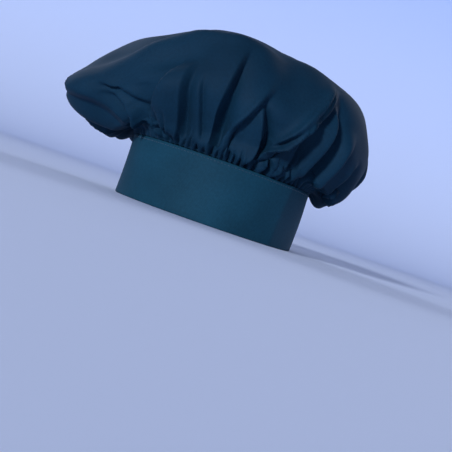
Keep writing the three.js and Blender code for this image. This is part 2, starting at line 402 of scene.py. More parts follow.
def write_uv(mesh: bpy.types.Mesh, layer: str, flat: np.ndarray, wrap: float | None = None) -> None:
    """Lays a mesh flat by one place in the cloth for each vertex.

    Args:
        mesh: the mesh to lay flat.
        layer: the UV map's name.
        flat: two numbers for each vertex, in metres of cloth.
        wrap: the length round a closed strip, where a face that crosses its join needs
            the far side's places one length further on.
    """
    corners = np.empty(len(mesh.loops), dtype=np.int64)
    mesh.loops.foreach_get("vertex_index", corners)
    places = flat[corners]
    if wrap is not None:
        starts = np.empty(len(mesh.polygons), dtype=np.int64)
        mesh.polygons.foreach_get("loop_start", starts)
        highest = np.maximum.reduceat(places[:, 0], starts)
        counts = np.diff(np.append(starts, len(corners)))
        behind = np.repeat(highest, counts) - places[:, 0] > wrap / 2
        places[behind, 0] += wrap
    mesh.uv_layers.new(name=layer).data.foreach_set("uv", places.ravel())


def shade_smooth(mesh: bpy.types.Mesh) -> None:
    """Shades every face of a mesh smooth."""
    mesh.polygons.foreach_set("use_smooth", [True] * len(mesh.polygons))


def new_object(name: str, mesh: bpy.types.Mesh) -> bpy.types.Object:
    """Puts a mesh into the scene as an object at the origin."""
    piece = bpy.data.objects.new(name, mesh)
    bpy.context.scene.collection.objects.link(piece)
    return piece


class Wave(NamedTuple):
    """A wave round the hat: how high, how many times round, and where it starts."""

    size: float
    times: float
    start: float

    def height(self, turn: np.ndarray) -> np.ndarray:
        """Gives the wave's height at turns round the hat in radians."""
        return self.size * np.sin(self.times * turn + self.start)


@dataclass(frozen=True)
class HatAxis:
    """Where the hat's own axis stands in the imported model, in metres."""

    x: float
    y: float

    @staticmethod
    def of_band() -> "HatAxis":
        """Finds the axis as the middle of the band's box."""
        low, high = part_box("band")
        return HatAxis((low.x + high.x) / 2, (low.y + high.y) / 2)

    def metres(self, points: np.ndarray) -> np.ndarray:
        """Turns points in the hat's frame, in millimetres, into metres in the model's frame."""
        return points * MM + np.array([self.x, self.y, 0.0])


@dataclass(frozen=True)
class BandOval:
    """The band's outer oval, seen from above, and its height."""

    half_width: float = 87.0
    half_depth: float = 100.0
    height: float = 57.0
    wall: float = 2.6

    def radius(self, azimuth: np.ndarray, inset: np.ndarray | float) -> np.ndarray:
        """Gives the distance from the hat's axis to the oval, drawn in by an inset.

        Args:
            azimuth: directions in degrees.
            inset: how far inside the band's outer face.

        Returns:
            The distances in millimetres.
        """
        turn = np.radians(azimuth)
        across = np.sin(turn) / (self.half_width - inset)
        along = np.cos(turn) / (self.half_depth - inset)
        return 1.0 / np.hypot(across, along)

    def length_to(self, azimuth: np.ndarray) -> np.ndarray:
        """Gives the length round the oval from the middle of the front, in millimetres."""
        grid = np.linspace(0.0, FULL_TURN, 721)
        radius = self.radius(grid, 0.0)
        points = np.stack([radius * np.sin(np.radians(grid)), -radius * np.cos(np.radians(grid))])
        steps = np.hypot(*np.diff(points, axis=1))
        lengths = np.concatenate([[0.0], np.cumsum(steps)])
        return np.interp(azimuth, grid, lengths)

    def girth(self) -> float:
        """Gives the length once round the oval, in millimetres."""
        return float(self.length_to(np.array([FULL_TURN]))[0])


@dataclass(frozen=True)
class CrownForm:
    """The crown's smooth form and its main folds, as functions of direction and cloth."""

    oval: BandOval
    seam_inset: float = 0.4
    seam_gap: float = 0.3
    top: tuple[float, float, float] = (-18.0, 6.0, 177.0)
    dome_out: float = 0.5
    dome_up: float = 0.74
    lean_power: float = 1.5
    collar_out: float = 8.0
    collar_up: float = 8.0
    fold_start: float = 12.0
    fold_bend: float = 1.2
    fold_spread: float = 0.6
    fold_fade: float = 0.55

    def outline_value(self, azimuth: np.ndarray, column: int) -> np.ndarray:
        """Reads one column of the outline table as a smooth closed curve.

        Args:
            azimuth: directions in degrees.
            column: the column's place in OutlineRow.

        Returns:
            The column's value in each direction.
        """
        table = np.array(OUTLINE, dtype=float)
        count = len(table)
        turned = np.mod(azimuth, FULL_TURN)
        row = np.searchsorted(table[:, 0], turned, side="right") - 1
        near = [row + step for step in (-1, 0, 1, 2)]
        xs = [table[np.mod(i, count), 0] + FULL_TURN * np.floor_divide(i, count) for i in near]
        ys = [table[np.mod(i, count), column] for i in near]
        return curve_between(xs, ys, turned)

    def meridians(self, azimuth: np.ndarray) -> tuple[np.ndarray, np.ndarray, np.ndarray]:
        """Gives the points that the crown's line follows in each direction.

        Args:
            azimuth: directions in degrees.

        Returns:
            How far out and up each point is, and how much cloth lies between it and the
            seam, each with a row for each direction.
        """
        seam = self.oval.radius(azimuth, self.seam_inset)
        level = np.zeros_like(seam)
        up = self.oval.height + self.seam_gap + level
        hem_out, hem_up, reach_out, reach_up, shoulder_out, shoulder_up = (
            self.outline_value(azimuth, column) for column in range(1, 7)
        )
        dome_out = shoulder_out * self.dome_out
        dome_up = shoulder_up + (self.top[2] - shoulder_up) * self.dome_up
        outs = [seam, seam, seam + self.collar_out, hem_out, reach_out, shoulder_out]
        ups = [up - self.collar_up, up, up + self.collar_up, hem_up, reach_up, shoulder_up]
        outs += [dome_out, level, -dome_out]
        ups += [dome_up, level + self.top[2], dome_up]
        out = np.stack(outs, -1)
        high = np.stack(ups, -1)
        steps = np.hypot(np.diff(out, axis=-1), np.diff(high, axis=-1))
        along = np.concatenate([level[..., None], np.cumsum(steps, -1)], -1)
        return out, high, along - along[..., 1:2]

    def points(self, azimuth: np.ndarray, share: np.ndarray) -> tuple[np.ndarray, np.ndarray]:
        """Places points on the form without folds.

        Args:
            azimuth: each point's direction in degrees.
            share: its share of the way from the seam to the top.

        Returns:
            The points, and the millimetres of cloth between each and the seam.
        """
        out, high, along = self.meridians(azimuth)
        distance = np.clip(share, 0.0, 1.0) * along[..., -2]
        last = out.shape[-1] - 3
        row = np.clip((along <= distance[..., None]).sum(-1) - 1, 1, last)
        near = [row + step for step in (-1, 0, 1, 2)]

        def pick(table: np.ndarray) -> list[np.ndarray]:
            """Takes the four entries of a table that lie round each point."""
            return [np.take_along_axis(table, i[..., None], -1)[..., 0] for i in near]

        reach = curve_between(pick(along), pick(out), distance)
        up = curve_between(pick(along), pick(high), distance)
        lean = np.clip(share, 0.0, 1.0) ** self.lean_power
        turn = np.radians(azimuth)
        x = self.top[0] * lean + reach * np.sin(turn)
        y = self.top[1] * lean - reach * np.cos(turn)
        return np.stack([x, y, up], -1), distance

    def fold_rise(self, azimuth: np.ndarray, distance: np.ndarray, out: np.ndarray) -> np.ndarray:
        """Adds up the main folds and the broad sags.

        Args:
            azimuth: each point's direction in degrees.
            distance: its millimetres of cloth from the seam.
            out: its distance from the hat's axis.

        Returns:
            How far each point stands out of the form, or below zero in.
        """
        rise = np.zeros_like(distance)
        for fold in FOLDS:
            t = np.clip(distance / fold.end, 0.0, 1.0)
            middle = fold.azimuth + (fold.end_azimuth - fold.azimuth) * t**self.fold_bend
            across = np.radians(turn_between(azimuth, middle)) * out
            across = across / (fold.width * (1.0 + self.fold_spread * t))
            grow = smooth_step(fold.start, fold.start + self.fold_start, distance)
            fade = 1.0 - smooth_step(self.fold_fade * fold.end, fold.end, distance)
            rise += fold.rise * grow * fade * np.exp(-across * across)
        for sag in SAGS:
            across = np.radians(turn_between(azimuth, sag.azimuth)) * out / sag.half_width
            along = (distance - sag.distance) / sag.half_length
            rise -= sag.depth * np.exp(-across * across - along * along)
        return rise


@dataclass(frozen=True)
class TuckPress:
    """Presses the crisp tucks into the settled cloth."""

    grow: float = 4.0
    ease_in: float = 0.1
    fade: float = 0.6
    strength: float = 1.05
    crest_roundness: float = 1.3
    hollow_roundness: float = 1.1
    lead: float = 1.0
    look_ahead: float = 2.0

    def rise(self, azimuth: np.ndarray, distance: np.ndarray, out: np.ndarray) -> np.ndarray:
        """Adds up the tucks.

        Args:
            azimuth: each point's direction in degrees.
            distance: its millimetres of cloth from the seam.
            out: its distance from the hat's axis.

        Returns:
            How far each point is pushed out, or below zero in.
        """
        rise = np.zeros_like(distance)
        for tuck in TUCKS:
            places = np.array(tuck.path, dtype=float)
            middle = np.interp(distance, places[:, 0], places[:, 1])
            start, end = places[0, 0], places[-1, 0]
            ahead = np.interp(distance + self.look_ahead, places[:, 0], places[:, 1])
            slope = np.radians(ahead - middle) * out / self.look_ahead
            across = np.radians(turn_between(azimuth, middle)) * out / np.sqrt(1 + slope**2)
            full = start + self.grow + self.ease_in * (end - start)
            along = smooth_step(start - self.lead, full, distance)
            along = along * (1.0 - smooth_step(start + (end - start) * self.fade, end, distance))
            rise += along * self.profile(tuck, -across * tuck.crest.value)
        return rise * self.strength

    def profile(self, tuck: Tuck, place: np.ndarray) -> np.ndarray:
        """Gives a tuck's height across its line.

        Args:
            tuck: the tuck.
            place: millimetres from the middle of its wall, above zero on the hollow's side.

        Returns:
            The height above the cloth, or below zero the depth.
        """
        half = tuck.wall / 2
        past_crest = np.clip(-half - place, 0.0, None) / tuck.crest_width
        past_foot = np.clip(place - half, 0.0, None) / tuck.hollow_width
        down = np.clip((place + half) / tuck.wall, 0.0, 1.0) ** tuck.bend
        wall = tuck.rise - (tuck.rise + tuck.sink) * down
        crest = tuck.rise * np.exp(-(past_crest**self.crest_roundness))
        hollow = -tuck.sink * np.exp(-(past_foot**self.hollow_roundness))
        return np.where(place < -half, crest, np.where(place > half, hollow, wall))


@dataclass(frozen=True)
class Rumples:
    """The slight unevenness of cloth that no fold pulls straight: a few crossing waves."""

    count: int = 12
    height: float = 0.5
    shortest: float = 30.0
    longest: float = 80.0
    starts: float = 30.0
    full: float = 90.0
    seed: int = 5

    def rise(self, points: np.ndarray, distance: np.ndarray) -> np.ndarray:
        """Gives how far the rumples push each point out of the cloth, or below zero in.

        Args:
            points: the cloth's points in millimetres.
            distance: each point's millimetres of cloth from the seam.

        Returns:
            The push in millimetres.
        """
        rng = np.random.default_rng(self.seed)
        rise = np.zeros_like(distance)
        for _ in range(self.count):
            heading = rng.normal(size=3)
            heading /= np.linalg.norm(heading)
            length = rng.uniform(self.shortest, self.longest)
            phase = rng.uniform(0.0, math.tau)
            rise += np.sin(math.tau * (points @ heading) / length + phase) * length / self.longest
        return self.height * rise * smooth_step(self.starts, self.full, distance)


@dataclass(frozen=True)
class SeamGathers:
    """The small gathers at the seam: round crests with a sharp hollow between each two."""

    count: int = 92
    depth: float = 5.5
    puff: float = 1.3
    shortest: float = 11.0
    longest: float = 46.0
    rarity: float = 2.4
    sharpness: float = 1.1
    taper: float = 3.0
    lead: float = 1.0
    settle: float = 1.2
    fade_from: float = 0.15
    shallowest: float = 0.25
    deepest: float = 1.15
    drift: tuple[Wave, ...] = (Wave(1.6, 3, 0.4), Wave(1.2, 8, 2.0))
    crowding: tuple[Wave, ...] = (Wave(2.2, 5, 0.9), Wave(1.1, 11, 0.0))
    seed: int = 11

    def rise(self, azimuth: np.ndarray, distance: np.ndarray) -> np.ndarray:
        """Gives how far the gathers push each point out of the cloth, or below zero in.

        Args:
            azimuth: each point's direction in degrees.
            distance: its millimetres of cloth from the seam.

        Returns:
            The push in millimetres.
        """
        rng = np.random.default_rng(self.seed)
        lengths = self.shortest + (self.longest - self.shortest) * rng.random(self.count) ** self.rarity
        depths = self.depth * rng.uniform(self.shallowest, self.deepest, self.count)
        turn = np.radians(azimuth)
        spread = np.clip(distance / self.longest, 0.0, 1.0)
        drift = sum(wave.height(turn) for wave in self.drift)
        crowding = sum(wave.height(turn) for wave in self.crowding)
        phase = self.count * azimuth / FULL_TURN + (crowding + drift * spread) / math.pi
        nearest = np.round(phase)
        hollow = np.mod(nearest, self.count).astype(int)
        across = np.abs(np.sin(math.pi * (phase - nearest)))
        t = np.clip(distance / lengths[hollow], 0.0, 1.0)
        fade = smooth_step(-self.lead, self.settle, distance)
        fade = fade * (1.0 - smooth_step(self.fade_from, 1.0, t))
        sink = depths[hollow] * (1.0 - across) ** (self.sharpness * (1.0 + self.taper * t))
        swell = self.puff * np.sin(math.pi * (phase - nearest)) ** 2
        return fade * (swell - sink)


@dataclass(frozen=True)
class ClothSettings:
    """How the crown's cloth settles: sizes are for a model ten times full size."""

    scale: float = 10.0
    frames: int = 12
    quality: int = 6
    mass: float = 0.3
    tension: float = 30.0
    shear: float = 5.0
    bending: float = 1.2
    damping: float = 5.0
    bending_damping: float = 0.5
    hold: float = 0.02
    seam_hold: float = 4.0
    growth: float = 0.38
    growth_reach: float = 60.0
    cap: float = 10.0
    calm_seam: float = 34.0

    def weigh(self, piece: bpy.types.Object, name: str, weights: np.ndarray) -> None:
        """Gives a piece a vertex group with rounded weights.

        Args:
            piece: the piece to weigh.
            name: the group's name.
            weights: a weight for each vertex.
        """
        group = piece.vertex_groups.new(name=name)
        rounded = weights.round(3)
        for weight in np.unique(rounded):
            if weight > 0:
                group.add(np.nonzero(rounded == weight)[0].tolist(), float(weight), "REPLACE")

    def settle(self, mesh: bpy.types.Mesh, points: np.ndarray, distance: np.ndarray) -> np.ndarray:
        """Lets the cloth's fullness near the seam buckle and settle.

        Args:
            mesh: the crown's mesh, whose faces are used.
            points: its vertices in millimetres.
            distance: each vertex's millimetres of cloth from the seam.

        Returns:
            The settled vertices in millimetres, none moved by more than the cap, and those
            by the seam kept calm for the gathers.
        """
        scene = bpy.context.scene
        draft = mesh.copy()
        metres = self.scale * MM
        write_points(draft, points * metres)
        piece = new_object("crown_draft", draft)
        self.weigh(piece, "hold", np.where(distance < self.seam_hold, 1.0, self.hold))
        self.weigh(piece, "growth", np.exp(-((distance / self.growth_reach) ** 2)))
        modifier = piece.modifiers.new("cloth", "CLOTH")
        cloth = modifier.settings
        cloth.quality = self.quality
        cloth.mass = self.mass
        cloth.tension_stiffness = self.tension
        cloth.compression_stiffness = self.tension
        cloth.shear_stiffness = self.shear
        cloth.bending_stiffness = self.bending
        cloth.tension_damping = self.damping
        cloth.compression_damping = self.damping
        cloth.bending_damping = self.bending_damping
        cloth.air_damping = self.damping
        cloth.vertex_group_mass = "hold"
        cloth.pin_stiffness = 1.0
        cloth.vertex_group_shrink = "growth"
        cloth.shrink_min = 0.0
        cloth.shrink_max = -self.growth
        cloth.effector_weights.gravity = 0.0
        modifier.collision_settings.use_collision = False
        modifier.point_cache.frame_start = 1
        modifier.point_cache.frame_end = self.frames + 1
        for step in range(1, self.frames + 1):
            scene.frame_set(step)
        graph = bpy.context.evaluated_depsgraph_get()
        settled = bpy.data.meshes.new_from_object(piece.evaluated_get(graph))
        moved = read_points(settled) / metres - points
        scene.frame_set(1)
        bpy.data.objects.remove(piece)
        bpy.data.meshes.remove(draft)
        bpy.data.meshes.remove(settled)
        length = np.linalg.norm(moved, axis=1)
        LOG.info("cloth settled, mean move %.1f mm, most %.1f mm", length.mean(), length.max())
        shorten = np.minimum(1.0, self.cap / np.maximum(length, 1e-9))
        shorten *= smooth_step(self.seam_hold, self.calm_seam, distance)
        return points + moved * shorten[:, None]


def linear_colour(sheet: str) -> tuple[float, float, float, float]:
    """Turns an sRGB hex colour into linear red, green and blue.

    Args:
        sheet: the colour as "#rrggbb".

    Returns:
        The linear colour with full alpha.
    """
    channels = [int(sheet[i : i + 2], 16) / 255 for i in (1, 3, 5)]
    linear = [c / 12.92 if c <= 0.04045 else ((c + 0.055) / 1.055) ** 2.4 for c in channels]
    return linear[0], linear[1], linear[2], 1.0


def add_node(
    tree: bpy.types.NodeTree,
    kind: str,
    settings: dict[str, object] | None = None,
    links: dict[str, object] | None = None,
) -> bpy.types.Node:
    """Adds a node with its settings and links.

    Args:
        tree: the material's node tree.
        kind: the node's type name.
        settings: values for the node's own properties or, under an input's name, for that input.
        links: the output sockets that go into inputs, under the inputs' names or places.

    Returns:
        The new node.
    """
    node = tree.nodes.new(kind)
    for name, value in (settings or {}).items():
        if name in node.inputs and not hasattr(type(node), name):
            node.inputs[name].default_value = value
        else:
            setattr(node, name, value)
    for name, source in (links or {}).items():
        tree.links.new(source, node.inputs[name])
    return node


@dataclass(frozen=True)
class TwillFinish:
    """Poly-cotton twill, piece dyed and woven. The crown's copy has darker colours, which are painted
    shade.

    The eye gets a soft, nearly matt dark cloth with a low broad sheen where it turns away,
    a faint diagonal rib, and slightly paler and darker places where the cloth was handled.
    """

    name: str
    colour: str
    shade: str
    rib_mm: float = 1.3
    rib_depth_mm: float = 0.05
    roughness: float = 0.72
    sheen: float = 0.02

    def material(self) -> bpy.types.Material:
        """Makes the cloth's material.

        The real ribs are about 0.6 mm apart, too fine to show in the render, so they are
        drawn about twice as coarse.

        Returns:
            The new material.
        """
        material = bpy.data.materials.new(self.name)
        material.use_nodes = True
        tree = material.node_tree
        tree.nodes.clear()
        # A wave's bands repeat each 2 pi / 10 along the sum of its coordinates.
        wave_scale = 2 * math.pi / (10 * math.sqrt(2) * self.rib_mm * MM)
        flat = add_node(tree, "ShaderNodeUVMap", {"uv_map": "cloth"}).outputs["UV"]
        place = add_node(tree, "ShaderNodeTexCoord").outputs["Object"]
        ribs = add_node(
            tree,
            "ShaderNodeTexWave",
            {
                "wave_type": "BANDS",
                "bands_direction": "DIAGONAL",
                "Scale": wave_scale,
                "Distortion": 0.6,
                "Detail": 1.0,
                "Detail Scale": 1.5,
            },
            {"Vector": flat},
        ).outputs["Fac"]
        slubs = add_node(
            tree,
            "ShaderNodeTexNoise",
            {"Scale": 420.0, "Detail": 3.0, "Roughness": 0.65},
            {"Vector": flat},
        ).outputs["Fac"]
        handling = add_node(
            tree,
            "ShaderNodeTexNoise",
            {"Scale": 17.0, "Detail": 3.0, "Roughness": 0.55},
            {"Vector": place},
        ).outputs["Fac"]
        patches = add_node(
            tree,
            "ShaderNodeMapRange",
            {"From Min": 0.32, "From Max": 0.68, "To Min": 0.0, "To Max": 1.0},
            {"Value": handling},
        ).outputs["Result"]
        dyed = add_node(
            tree,
            "ShaderNodeMix",
            {"data_type": "RGBA"},
            {"Factor": patches},
        )
        dyed.inputs[MIX_FIRST].default_value = linear_colour(self.shade)
        dyed.inputs[MIX_SECOND].default_value = linear_colour(self.colour)
        threads = add_node(
            tree,
            "ShaderNodeMath",
            {"operation": "MULTIPLY_ADD"},
            {0: ribs},
        )
        threads.inputs[1].default_value = 0.16
        tree.links.new(slubs, threads.inputs[2])
        light = add_node(
            tree,
            "ShaderNodeMapRange",
            {"From Min": 0.3, "From Max": 0.85, "To Min": 0.82, "To Max": 1.16},
            {"Value": threads.outputs[0]},
        ).outputs["Result"]
        woven = add_node(
            tree,
            "ShaderNodeHueSaturation",
            {},
            {"Color": dyed.outputs[MIX_RESULT], "Value": light},
        ).outputs["Color"]
        relief = add_node(
            tree,
            "ShaderNodeMath",
            {"operation": "ADD"},
            {0: ribs, 1: slubs},
        ).outputs[0]
        bump = add_node(
            tree,
            "ShaderNodeBump",
            {"Strength": 0.5, "Distance": self.rib_depth_mm * MM},
            {"Height": relief},
        ).outputs["Normal"]
        shader = add_node(
            tree,
            "ShaderNodeBsdfPrincipled",
            {
                "Roughness": self.roughness,
                "Specular IOR Level": 0.12,
                "Sheen Weight": self.sheen,
                "Sheen Roughness": 0.45,
                "Sheen Tint": linear_colour("#9fc4e4"),
            },
            {"Base Color": woven, "Normal": bump},
        )
        add_node(tree, "ShaderNodeOutputMaterial", {}, {"Surface": shader.outputs[0]})
        return material


@dataclass(frozen=True)
class ThreadFinish:
    """Spun polyester sewing thread, twisted: smoother and a little paler than the cloth."""

    name: str
    colour: str
    shade: str

    def material(self) -> bpy.types.Material:
        """Makes the thread's material, with a fine twist along each stitch."""
        material = bpy.data.materials.new(self.name)
        material.use_nodes = True
        tree = material.node_tree
        tree.nodes.clear()
        place = add_node(tree, "ShaderNodeTexCoord").outputs["Object"]
        twist = add_node(
            tree,
            "ShaderNodeTexWave",
            {"wave_type": "BANDS", "bands_direction": "DIAGONAL", "Scale": 900.0, "Distortion": 0.5},
            {"Vector": place},
        ).outputs["Fac"]
        tone = add_node(tree, "ShaderNodeMix", {"data_type": "RGBA"}, {"Factor": twist})
        tone.inputs[MIX_FIRST].default_value = linear_colour(self.shade)
        tone.inputs[MIX_SECOND].default_value = linear_colour(self.colour)
        bump = add_node(
            tree,
            "ShaderNodeBump",
            {"Strength": 0.3, "Distance": 0.05 * MM},
            {"Height": twist},
        ).outputs["Normal"]
        shader = add_node(
            tree,
            "ShaderNodeBsdfPrincipled",
            {"Roughness": 0.5, "Sheen Weight": 0.2},
            {"Base Color": tone.outputs[MIX_RESULT], "Normal": bump},
        )
        add_node(tree, "ShaderNodeOutputMaterial", {}, {"Surface": shader.outputs[0]})
        return material


@dataclass
class Crown:
    """The crown: one round of cloth, gathered along its edge and full above."""

    form: CrownForm
    axis: HatAxis
    tucks: TuckPress
    gathers: SeamGathers
    rumples: Rumples
    cloth: ClothSettings
    finish: TwillFinish
    columns: int = 480
    rows: int = 98
    seam_crowding: float = 0.25
    top_spread: float = 4.0
    front_crowding: float = 0.45
    thickness: float = 0.8
    even_reach: float = 16.0
    even_within: float = 0.5
    even_fit: tuple[float, float] = (0.7, 2.0)

    def build(self) -> bpy.types.Object:
        """Makes the crown, shapes it and gives it its wall.

        Returns:
            The crown's object.
        """
        mesh = self.tube()
        grid = read_points(mesh)
        turn = np.arctan2(grid[:, 0], -grid[:, 1])
        azimuth = np.mod(np.degrees(turn - self.front_crowding * np.sin(turn)), FULL_TURN)
        step = grid[:, 2] / self.rows
        share = self.seam_crowding * step + (1.0 - self.seam_crowding) * step**self.top_spread
        plain, distance = self.form.points(azimuth, share)
        points = plain
        write_points(mesh, points)
        out = np.hypot(points[:, 0], points[:, 1])
        rise = self.form.fold_rise(azimuth, distance, out)
        points = points + read_normals(mesh) * rise[:, None]
        points = self.cloth.settle(mesh, points, distance)
        write_points(mesh, points)
        pressed = self.tucks.rise(azimuth, distance, out) + self.gathers.rise(azimuth, distance)
        pressed += self.rumples.rise(points, distance)
        points = points + read_normals(mesh) * pressed[:, None]
        points = self.even_middle(points, plain, plain[int(np.argmax(grid[:, 2]))])
        write_points(mesh, self.axis.metres(points))
        self.lay_flat(mesh, azimuth, distance)
        shade_smooth(mesh)
        piece = new_object("crown_cloth_round", mesh)
        wall = piece.modifiers.new("cloth wall", "SOLIDIFY")
        wall.thickness = self.thickness * MM
        wall.offset = -1.0
        return piece

    def even_middle(self, points: np.ndarray, plain: np.ndarray, middle: np.ndarray) -> np.ndarray:
        """Lays the cloth round the crown's middle, where the mesh's lines meet, on one even curve.

        Args:
            points: the shaped points in millimetres.
            plain: the same points before the folds and the simulation.
            middle: the plain point in the middle.

        Returns:
            The points, even round the middle and unchanged elsewhere.
        """
        away = np.hypot(plain[:, 0] - middle[0], plain[:, 1] - middle[1])
        hold = 1.0 - smooth_step(self.even_within * self.even_reach, self.even_reach, away)
        spot = points[:, :2] + (plain[:, :2] - points[:, :2]) * hold[:, None] - middle[:2]
        x, y = spot[:, 0], spot[:, 1]
        terms = np.stack([np.ones_like(x), x, y, x * x, x * y, y * y], -1)
        nearest, farthest = (share * self.even_reach for share in self.even_fit)
        round_it = (away > nearest) & (away < farthest)
        curve = np.linalg.lstsq(terms[round_it], points[round_it, 2], rcond=None)[0]
        height = points[:, 2] + (terms @ curve - points[:, 2]) * hold
        return np.stack([x + middle[0], y + middle[1], height], -1)

    def tube(self) -> bpy.types.Mesh:
        """Spins an upright line into a tube of unit radius and closes its top.

        Returns:
            The mesh, on which a vertex's height is its row, from 0 at the seam.
        """
        bm = bmesh.new()
        ends = [bm.verts.new((1.0, 0.0, 0.0)), bm.verts.new((1.0, 0.0, self.rows - 1.0))]
        line = [bm.edges.new(ends)]
        bmesh.ops.subdivide_edges(bm, edges=line, cuts=self.rows - 2)
        bmesh.ops.spin(
            bm,
            geom=list(bm.verts) + list(bm.edges),
            cent=(0.0, 0.0, 0.0),
            axis=(0.0, 0.0, 1.0),
            angle=math.tau,
            steps=self.columns,
            use_merge=True,
        )
        rim = [e for e in bm.edges if all(v.co.z > self.rows - 1.5 for v in e.verts)]
        bmesh.ops.contextual_create(bm, geom=rim)
        lid = [f for f in bm.faces if len(f.verts) > 4]
        for middle in bmesh.ops.poke(bm, faces=lid)["verts"]:
            middle.co.z = float(self.rows)
        bmesh.ops.recalc_face_normals(bm, faces=list(bm.faces))
        mesh = bpy.data.meshes.new("crown_cloth_round")
        bm.to_mesh(mesh)
        bm.free()
        return mesh

    def lay_flat(self, mesh: bpy.types.Mesh, azimuth: np.ndarray, distance: np.ndarray) -> None:
        """Gives each point its place in the flat round of cloth.

        Args:
            mesh: the crown's mesh.
            azimuth: each point's direction in degrees.
            distance: its millimetres of cloth from the seam.
        """
        length = self.form.meridians(azimuth)[2][..., -2]
        radius = (length - distance) * MM
        turn = np.radians(azimuth)
        flat = np.stack([radius * np.sin(turn), -radius * np.cos(turn)], -1)
        write_uv(mesh, "cloth", flat)

    def dress(self, piece: bpy.types.Object) -> None:
        """Gives the crown its cloth, hangs it from the root and logs its vertices.

        Args:
            piece: the crown's object.
        """
        piece.data.materials.append(self.finish.material())
        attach(piece, "root")
        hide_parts("crown")
        length = self.form.meridians(np.linspace(0.0, FULL_TURN, 121)[:-1])[2][..., -2]
        LOG.info("crown: %d vertices", len(piece.data.vertices))


